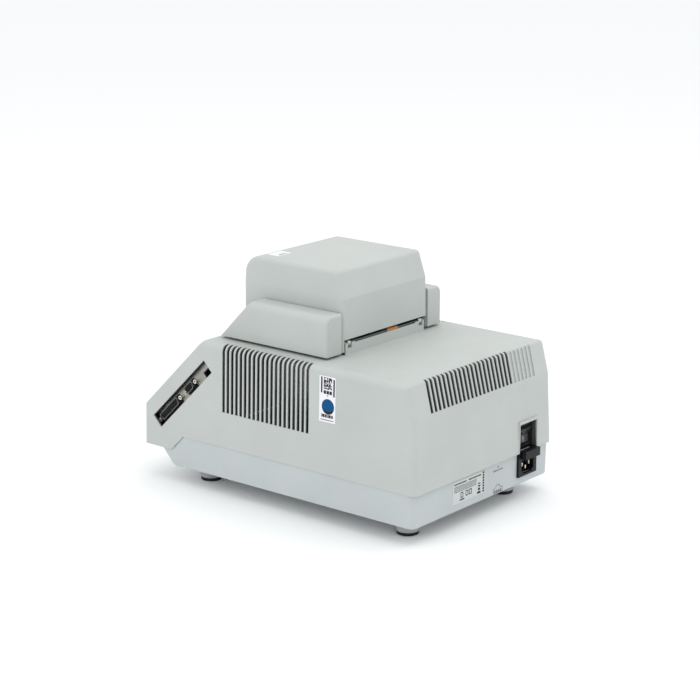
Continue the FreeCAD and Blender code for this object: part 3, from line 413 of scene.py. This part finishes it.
def make_looks():
    """Every material by its slot name."""
    shell = (0.47, 0.495, 0.478)
    base = (0.475, 0.51, 0.515)
    black = (0.012, 0.013, 0.016)
    port_black = (0.004, 0.004, 0.005)
    steel = (0.11, 0.115, 0.12)
    return {
        "shell_plastic": moulded_plastic("shell_plastic", shell),
        # The upper housing's moulding, with painted shade in its vent slots and recesses.
        "vented_shell": moulded_plastic("vented_shell", shell, shaded_inside=True),
        "base_plastic": moulded_plastic("base_plastic", base, grain=1300, relief=0.000025),
        "foot_plastic": moulded_plastic("foot_plastic", (0.36, 0.37, 0.37), roughness=0.5),
        "foot_rubber": rubber("foot_rubber", (0.012, 0.012, 0.013)),
        "panel_film": smooth_plastic("panel_film", (0.17, 0.19, 0.22), roughness=0.45, worn=1.2),
        "display_glass": tinted_window("display_glass", (0.1, 0.12, 0.1), 0.35),
        "dark_module": moulded_plastic("dark_module", black, roughness=0.5, worn=1.6),
        "circuit_board": circuit_board("circuit_board"),
        # The zinc plate is darker than bare zinc: painted shade for the shadow over the connector bracket.
        "zinc_plate": sheet_metal("zinc_plate", (0.36, 0.36, 0.335)),
        "nickel_screws": sheet_metal("nickel_screws", (0.75, 0.73, 0.66), roughness=0.22, grain=2500),
        "port_metal": port_face("port_metal", (0.3, 0.295, 0.28), port_black),
        "port_rim": sheet_metal("port_rim", (0.2, 0.2, 0.2), roughness=0.32),
        "black_ink": printed_ink("black_ink", (0.02, 0.02, 0.025)),
        "grey_ink": printed_ink("grey_ink", (0.16, 0.165, 0.17)),
        "blue_ink": printed_ink("blue_ink", (0.001, 0.07, 0.21), roughness=0.6),
        "pale_ink": printed_ink("pale_ink", (0.62, 0.65, 0.66)),
        "display_cells": pixel_glass("display_cells"),
        "black_plastic": moulded_plastic("black_plastic", black, roughness=0.5, worn=2.0, specular=0.15),
        "inlet_plastic": moulded_plastic("inlet_plastic", (0.005, 0.0055, 0.007), roughness=0.45, worn=2.0,
                                         relief=0.000012, specular=0.22),
        "rocker_plastic": smooth_plastic("rocker_plastic", (0.02, 0.022, 0.028), worn=2.5),
        "latch_plastic": moulded_plastic("latch_plastic", (0.36, 0.385, 0.385), roughness=0.5),
        "brass_pins": sheet_metal("brass_pins", (0.75, 0.68, 0.52), roughness=0.28),
        "fuse_glass": tinted_window("fuse_glass", (0.75, 0.78, 0.75), 0.4),
        "block_metal": blasted_metal("block_metal", (0.68, 0.68, 0.69)),
        "dark_plastic": moulded_plastic("dark_plastic", (0.02, 0.02, 0.022), roughness=0.6, worn=1.6),
        "cell_ceramic": moulded_plastic("cell_ceramic", (0.75, 0.74, 0.7), roughness=0.7),
        "sink_metal": sheet_metal("sink_metal", (0.62, 0.62, 0.63), roughness=0.4, along=(1, 1, 0.05)),
        "frame_metal": sheet_metal("frame_metal", (0.58, 0.58, 0.58), roughness=0.38, along=(0.05, 1, 1)),
        "heater_film": amber_film("heater_film"),
        "cable_film": amber_film("cable_film"),
        "spring_steel": sheet_metal("spring_steel", (0.4, 0.4, 0.41), roughness=0.3),
        "shaft_steel": sheet_metal("shaft_steel", steel, roughness=0.3, along=(0.05, 1, 1)),
        "key_plastic": moulded_plastic("key_plastic", (0.5, 0.51, 0.49), roughness=0.45),
        "stop_key": moulded_plastic("stop_key", (0.4, 0.05, 0.035), roughness=0.45, worn=1.4),
        "start_key": moulded_plastic("start_key", (0.04, 0.2, 0.07), roughness=0.45, worn=1.5),
        "side_label": matte_paper("side_label", (0.78, 0.79, 0.82)),
        "rating_label": matte_paper("rating_label", (0.56, 0.59, 0.58)),
        "lid_label": matte_paper("lid_label", (0.74, 0.76, 0.78)),
    }


def dress_nodes(looks):
    """Gives each CAD node the material of its slot."""
    for part in frame["record"]["subparts"]:
        node = frame["nodes"][part["node"]]
        node.data.materials.clear()
        node.data.materials.append(looks[part["material_slot"]])
    # The upper housing takes the moulding with painted shade in its slots and recesses.
    frame["nodes"]["upper_housing"].data.materials[0] = looks["vented_shell"]


# ---------------------------------------------------------------- places, forms and outlines

def plane_at(origin, right, up):
    """A place to draw on: x to the right, y up and z out of the surface."""
    right = Vector(right).normalized()
    up = Vector(up).normalized()
    return Matrix.Translation(origin) @ Matrix((right, up, right.cross(up))).transposed().to_4x4()


def slope_spot(across, up, out=0.0):
    """A point in metres, from its place up the control slope and out of it in millimetres."""
    along = Vector((0, DIAGONAL, DIAGONAL))
    away = Vector((0, -DIAGONAL, DIAGONAL))
    return (Vector((across, FRONT_Y, SLOPE_FOOT_Z)) + up * along + out * away) * MM


def on_slope(across, up, out=0.0):
    """A drawing plane on the control slope."""
    return plane_at(slope_spot(across, up, out), (1, 0, 0), (0, 1, 1))


def piece(name, mesh, place, look, body):
    """A new object that moves with a CAD body. The mesh is in millimetres on its own plane."""
    made = bpy.data.objects.new(name, mesh)
    bpy.context.scene.collection.objects.link(made)
    made.data.transform(place @ Matrix.Scale(MM, 4))
    made.data.materials.append(LOOKS[look])
    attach(made, body)
    return made


def mesh_of(form, name):
    """A mesh from a finished form, which is freed."""
    mesh = bpy.data.meshes.new(name)
    bmesh.ops.recalc_face_normals(form, faces=form.faces)
    form.to_mesh(mesh)
    form.free()
    return mesh


def softened(made, width):
    """Rounds the sharp edges of a piece."""
    rounding = made.modifiers.new("rounding", "BEVEL")
    rounding.width = width
    rounding.segments = 2
    rounding.limit_method = "ANGLE"


def stitch(form, rings):
    """Faces between each closed ring of points and the next one."""
    for here, there in zip(rings, rings[1:]):
        for number in range(len(here)):
            after = (number + 1) % len(here)
            form.faces.new((here[number], here[after], there[after], there[number]))


def add_plate(form, outline, low, high):
    """A flat plate of any outline between two heights."""
    rings = [[form.verts.new((x, y, height)) for x, y in outline] for height in (low, high)]
    for face in rings:
        form.faces.new(face)
    stitch(form, rings)


def turned(form, profile, steps):
    """A surface of revolution about z from (radius, height) points."""
    stitch(form, [[form.verts.new((x, y, height)) for x, y in circle(radius, steps)]
                  for radius, height in profile])


def add_coil(form, foot, radius, wire, tall, turns=6, sides=8, steps=150):
    """A wire wound round z. Its first and last turns lie nearly flat."""
    rings = []
    for step in range(steps + 1):
        share = step / steps
        angle = math.tau * turns * share
        spread = min(max((share * turns - 1) / (turns - 2), 0), 1)
        height = wire + spread * (tall - 2 * wire)
        outwards = Vector((math.cos(angle), math.sin(angle), 0))
        centre = Vector(foot) + radius * outwards + Vector((0, 0, height))
        rings.append([form.verts.new(centre + x * outwards + Vector((0, 0, y)))
                      for x, y in circle(wire, sides)])
    stitch(form, rings)
    form.faces.new(rings[0])
    form.faces.new(rings[-1])


def bar(left, low, right, high):
    """The outline of a rectangle."""
    return [(left, low), (right, low), (right, high), (left, high)]


def arc(middle, radius, start, end, steps=24):
    """Points along an arc, the angles in degrees."""
    x, y = middle
    turns = [math.radians(start + (end - start) * step / steps) for step in range(steps + 1)]
    return [(x + radius * math.cos(turn), y + radius * math.sin(turn)) for turn in turns]


def circle(radius, steps):
    """Points round a circle, its first point not repeated."""
    return arc((0, 0), radius, 0, 360, steps)[:-1]


def ring(middle, outer, inner, start=0, end=360):
    """The outline of a band between two arcs."""
    return arc(middle, outer, start, end) + arc(middle, inner, end, start)


def d_outline(half, tall):
    """A D shape: the outer side longer than the inner one, all corners rounded."""
    corner, taper = 2, 1.5
    near, far = half - corner - taper, half - corner
    low, high = corner - tall, tall - corner
    corners = ((-near, low, 190, 270), (near, low, 270, 350), (far, high, 350, 450), (-far, high, 90, 190))
    return [point for x, y, start, end in corners for point in arc((x, y), corner, start, end, 6)]


def frame_bars(left, low, right, high, line=0.5):
    """The four sides of a drawn frame."""
    return [bar(left, low, right, low + line), bar(left, high - line, right, high),
            bar(left, low + line, left + line, high - line),
            bar(right - line, low + line, right, high - line)]


def words(left, low, right, tall):
    """A line of small bars that stands for a line of print."""
    shortest, space = 0.6, 0.45
    marks = []
    start = left
    while start < right - shortest:
        length = random.choice((0.9, 1.4, 2.1, 3.0))
        marks.append(bar(start, low, min(start + length, right), low + tall))
        start += length + space
    return marks


def print_on(name, marks, place, look, body, thick=0.04):
    """Ink, or another thin layer, in the shape of some outlines."""
    form = bmesh.new()
    for mark in marks:
        add_plate(form, mark, 0, thick)
    return piece(name, mesh_of(form, name), place, look, body)


# ---------------------------------------------------------------- detail pieces

def side_label():
    """Two bars, a block code, a row of blocks and a blue disc on the side sticker."""
    low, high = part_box("side_label")
    lean = math.atan(SIDE_LEAN)
    up = (-math.sin(lean), 0, math.cos(lean))
    place = plane_at((high.x + STICKER_GAP * MM, low.y, low.z), (0, 1, 0), up)
    wide, tall = 23, 52

    def share(left, bottom, right, top):
        return bar(left * wide, bottom * tall, right * wide, top * tall)

    black = [share(0.1, 0.63, 0.19, 0.98), share(0.86, 0.58, 0.95, 0.96)]
    cell, columns, lines, filled = 0.9, 13, 15, 0.6
    for column in range(columns):
        for line in range(lines):
            if random.random() < filled:
                left = 0.27 * wide + column * cell
                bottom = 0.715 * tall + line * cell
                black.append(bar(left, bottom, left + cell, bottom + cell))
    black += [share(0.27 + 0.18 * number, 0.615, 0.42 + 0.18 * number, 0.69) for number in range(3)]
    black.append(arc((0.52 * wide, 0.58 * tall), 0.7, 0, 345))
    black += words(0.14 * wide, 0.1 * tall, 0.86 * wide, 0.07 * tall)
    black.append(share(0.1, 0.04, 0.9, 0.055))
    x, y = 0.545 * wide, 0.343 * tall
    disc_radius, crescent_rise = 8.8, 3.4
    disc = arc((x, y), disc_radius, 0, 352, 46)
    crescent = arc((x, y), disc_radius, 215, 325) + arc((x, y + crescent_rise), disc_radius, 314, 226)
    print_on("side_label_black_print", black, place, "black_ink", "housing")
    print_on("side_label_blue_disc", [disc], place, "blue_ink", "housing")
    print_on("side_label_crescent", [crescent], place, "black_ink", "housing", thick=0.07)


def rating_label():
    """Lines of print, a column of small blocks and a dashed edge on the sticker at the back."""
    low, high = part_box("rating_label")
    place = plane_at((high.x, high.y + STICKER_GAP * MM, low.z), (-1, 0, 0), (0, 0, 1))
    headline_low, headline_high = 21.8, 23.4
    black = [bar(left, headline_low, left + wide, headline_high)
             for start, step, wide, count in ((3, 2.6, 2.1, 9), (30, 2.4, 2, 10))
             for left in (start + step * number for number in range(count))]
    black += [bar(56.6, 1.2 + 3.1 * number, 59.8, 3.5 + 3.1 * number) for number in range(8)]
    black += [bar(46.5, 1.4, 53, 4), bar(48, 5.2, 52, 8), bar(48, 9.4, 52.5, 11.2)]
    black += [bar(48, 12.6, 52.5, 14), bar(13.5, 2.2, 22, 3.8)]
    for left in (15, 24.5, 31):
        black += frame_bars(left, 5, left + 5, 11.5, line=1.1)
    print_on("rating_label_black_print", black, place, "black_ink", "housing")
    grey = []
    for line in range(4):
        grey += words(3, 18.8 - 1.9 * line, 45, 1.1)
    print_on("rating_label_small_print", grey, place, "grey_ink", "housing")


def base_prints():
    """Two small marks printed on the lower casing between the label and the inlet."""
    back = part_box("rating_label")[0].y
    place = plane_at((-19 * MM, back, 21 * MM), (-1, 0, 0), (0, 0, 1))
    marks = words(0, 27, 19, 1.7) + [arc((9.5, 31.5), 1.2, 0, 330)]
    marks += [ring((9.5, 6.6), 4.6, 3.7, 5, 175), bar(0.4, 0.6, 1.2, 7), bar(18, 0.6, 18.8, 7)]
    marks += [bar(1.2, 6.2, 4.9, 7), bar(14.1, 6.2, 18, 7)]
    marks += [bar(2.4 + 3.8 * number, 0.6, 5.4 + 3.8 * number, 4.4) for number in range(4)]
    print_on("base_small_prints", marks, place, "grey_ink", "housing")


def lid_label():
    """Two lines of print on the lid's sticker."""
    low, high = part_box("lid_label")
    place = plane_at((low.x, low.y, high.z + STICKER_GAP * MM), (1, 0, 0), (0, 1, 0))
    marks = words(5, 13, 19, 1.6) + words(7, 10.4, 16, 1)
    print_on("lid_label_print", marks, place, "grey_ink", "lid")


def rocker_marks():
    """The bar on the pressed end of the rocker and the ring on its raised end."""
    low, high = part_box("rocker_switch")
    middle = (low.x + high.x) / 2
    valley = Vector((middle, high.y - 3.8 * MM, low.z + 10 * MM))
    for name, rise, run, mark, look in (
            ("rocker_bar_mark", -9.6, 0.6, [bar(-0.5, -2.6, 0.5, 2.6)], "pale_ink"),
            ("rocker_ring_mark", 8, 3.8, [ring((0, 0), 2.3, 1.5)], "grey_ink")):
        end = valley + Vector((0, run, rise)) * MM
        up = (end - valley) if rise > 0 else (valley - end)
        place = plane_at((valley + end) / 2, (-1, 0, 0), up)
        print_on(name, mark, place, look, "mains_rocker")


def port_rims():
    """The rolled metal rim that stands round each D-shaped insulator."""
    along = Vector((0, 1, 1)).normalized()
    out = Vector((0, -1, 1)).normalized()
    foot, rise, metal, half_tall, level = 0.02, 0.3, 0.7, 4.3, 0.02
    for ways in PORT_UP:
        points = [point.co for point in frame["nodes"][f"port_{ways}"].data.vertices]
        front = max(point.x for point in points)
        face = [point for point in points if front - point.x < level * MM]
        centre = sum(face, Vector()) / len(face)
        half = max((point - centre).dot(along) for point in face) / MM
        form = bmesh.new()
        outer = d_outline(half, half_tall)
        inner = d_outline(half - metal, half_tall - metal)
        rings = [[form.verts.new((x, y, height)) for x, y in outline]
                 for outline, height in ((outer, foot), (outer, rise), (inner, rise), (inner, foot))]
        stitch(form, rings + rings[:1])
        place = plane_at(Vector((front, *centre.yz)), along, out)
        name = f"port_rim_{ways}"
        made = piece(name, mesh_of(form, name), place, "port_rim", "housing")
        softened(made, 0.0001)


def port_collars():
    """The black moulded flanges that the D shells stand in."""
    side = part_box("connector_bracket")[1].x / MM
    half_tall, corner = 5.2, 1
    for ways, half in COLLAR_HALF.items():
        corners = ((-half + corner, -half_tall, 180), (half - corner, -half_tall, 270),
                   (half - corner, half_tall, 0), (-half + corner, half_tall, 90))
        outline = [point for x, y, start in corners for point in arc((x, y), corner, start, start + 90, 5)]
        form = bmesh.new()
        add_plate(form, outline, -0.3, 1.1)
        place = plane_at(slope_spot(side, PORT_UP[ways], PORT_OUT), (0, 1, 1), (0, -1, 1))
        name = f"port_collar_{ways}"
        made = piece(name, mesh_of(form, name), place, "black_plastic", "housing")
        softened(made, 0.0003)


def brass_insert():
    """The empty threaded insert where the small port's lower jack screw is missing."""
    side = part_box("connector_bracket")[1].x / MM
    form = bmesh.new()
    crest, root, half_pitch, bore_depth = 1.3, 1.55, 0.35, 9
    profile = [(2.5, 0.02), (2.5, 0.9), (2.2, 1.2), (1.75, 1.2)]
    profile += [(root if step % 2 else crest, 1.0 - half_pitch * step) for step in range(bore_depth)]
    turned(form, profile, 24)
    place = plane_at(slope_spot(side, EMPTY_INSERT_UP, PORT_OUT), (0, 1, 0), (0, 0, 1))
    piece("brass_insert", mesh_of(form, "brass_insert"), place, "brass_pins", "housing")


def plate_springs():
    """Four wound springs with closed ends over the heated plate."""
    low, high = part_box("plate_springs")
    wire, radius, gap, inset = 0.4, 3.55, 0.15, 4
    tall = (high.z - low.z) / MM
    form = bmesh.new()
    for x in (low.x / MM + inset, high.x / MM - inset):
        for y in (low.y / MM + inset, high.y / MM - inset):
            add_coil(form, (x, y, low.z / MM + gap), radius, wire, tall - gap)
    made = piece("wound_plate_springs", mesh_of(form, "springs"), Matrix(), "spring_steel", "lid")
    made.data.polygons.foreach_set("use_smooth", [True] * len(made.data.polygons))
    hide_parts("plate_springs")
    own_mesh(made)


def lid_cable():
    """The flat film cable: from the heater to the hinge, round its shaft, then into the housing."""
    low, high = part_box("lid_cable")
    heater_y, heater_z, drop_y, bend, wrap = 20.2, 207.1, 45.2, 1, 2.78
    line = [(heater_y + 2 * step, heater_z) for step in range(12)]
    line += arc((drop_y - bend, heater_z - bend), bend, 78, 0, 6)
    line += [(drop_y, 205.5 - 1.2 * step) for step in range(8)]
    line += [(45.9, 195.9), (47.4, 195.2)] + arc(HINGE, wrap, 110, -90, 26) + [(48.4, 189.1), (46.8, 188.7)]
    line += [(drop_y, 187.5 - 1.5 * step) for step in range(12)]
    form = bmesh.new()
    columns = 16
    across = [low.x + (high.x - low.x) * column / columns for column in range(columns + 1)]
    rows = [[form.verts.new((x, y * MM, z * MM)) for x in across] for y, z in line]
    for here, there in zip(rows, rows[1:]):
        for column in range(columns):
            form.faces.new((here[column], here[column + 1], there[column + 1], there[column]))
    made = bpy.data.objects.new("film_cable", mesh_of(form, "film_cable"))
    bpy.context.scene.collection.objects.link(made)
    made.data.materials.append(LOOKS["cable_film"])
    thickness = made.modifiers.new("thickness", "SOLIDIFY")
    thickness.thickness = 0.3 * MM
    thickness.offset = 0
    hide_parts("lid_cable")
    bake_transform(made)


def control_panel():
    """The printed frames of the panel, the display's cells and the keys' marks."""
    display_frame = (-92, 50, 12, 102)
    keypad_frame = (24, 19, 88, 91)
    frames = frame_bars(*display_frame) + frame_bars(*keypad_frame)
    frames += [bar(left, 40, left + 18, 41.5) for left in range(-92, 0, 24)]
    print_on("panel_print", frames, on_slope(0, 0), "pale_ink", "housing")
    cells = [bar(-81.8, 63.2, 1.8, 88.8)]
    glass_out = -3.9
    print_on("display_cells", cells, on_slope(0, 0, glass_out), "display_cells", "housing",
             thick=0.8)
    shapes = {"stop": bar(-1.8, -1.8, 1.8, 1.8), "start": [(-1.6, -2), (2.2, 0), (-1.6, 2)]}
    names = ("1", "2", "3", "4", "5", "6", "7", "8", "9", "stop", "0", "start")
    for number, name in enumerate(names):
        line, column = divmod(number, 3)
        across = FIRST_KEY[0] + KEY_STEP[0] * column
        place = on_slope(across, FIRST_KEY[1] + KEY_STEP[1] * (3 - line), KEY_PROUD)
        if name in shapes:
            print_on(f"key_{name}_mark", [shapes[name]], place, "pale_ink", f"key_{name}")
        else:
            digit(name, place)


def digit(name, place):
    """A raised digit on its key."""
    text = bpy.data.curves.new(f"digit_{name}", "FONT")
    text.body = name
    text.size = 6.2
    text.extrude = 0.03
    text.align_x = "CENTER"
    text.align_y = "CENTER"
    drawn = bpy.data.objects.new(f"digit_{name}", text)
    mesh = bpy.data.meshes.new_from_object(drawn)
    bpy.data.objects.remove(drawn)
    piece(f"key_{name}_digit", mesh, place, "black_ink", f"key_{name}")


def latch_ribs():
    """Finger ribs across the front of the latch lever."""
    low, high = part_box("latch_lever")
    form = bmesh.new()
    half, lowest, pitch, rib = 24, 6, 3.2, 1.4
    for number in range(5):
        bottom = lowest + pitch * number
        add_plate(form, bar(-half, bottom, half, bottom + rib), -0.3, 0.7)
    place = plane_at(((low.x + high.x) / 2, HOOD_FRONT_Y * MM, low.z), (1, 0, 0), (0, 0, 1))
    ribs = piece("latch_ribs", mesh_of(form, "latch_ribs"), place, "latch_plastic", "latch")
    softened(ribs, 0.0004)


add_camera()
LOOKS = make_looks()
add_studio()
dress_nodes(LOOKS)
side_label()
rating_label()
base_prints()
lid_label()
rocker_marks()
port_rims()
port_collars()
brass_insert()
plate_springs()
lid_cable()
control_panel()
latch_ribs()
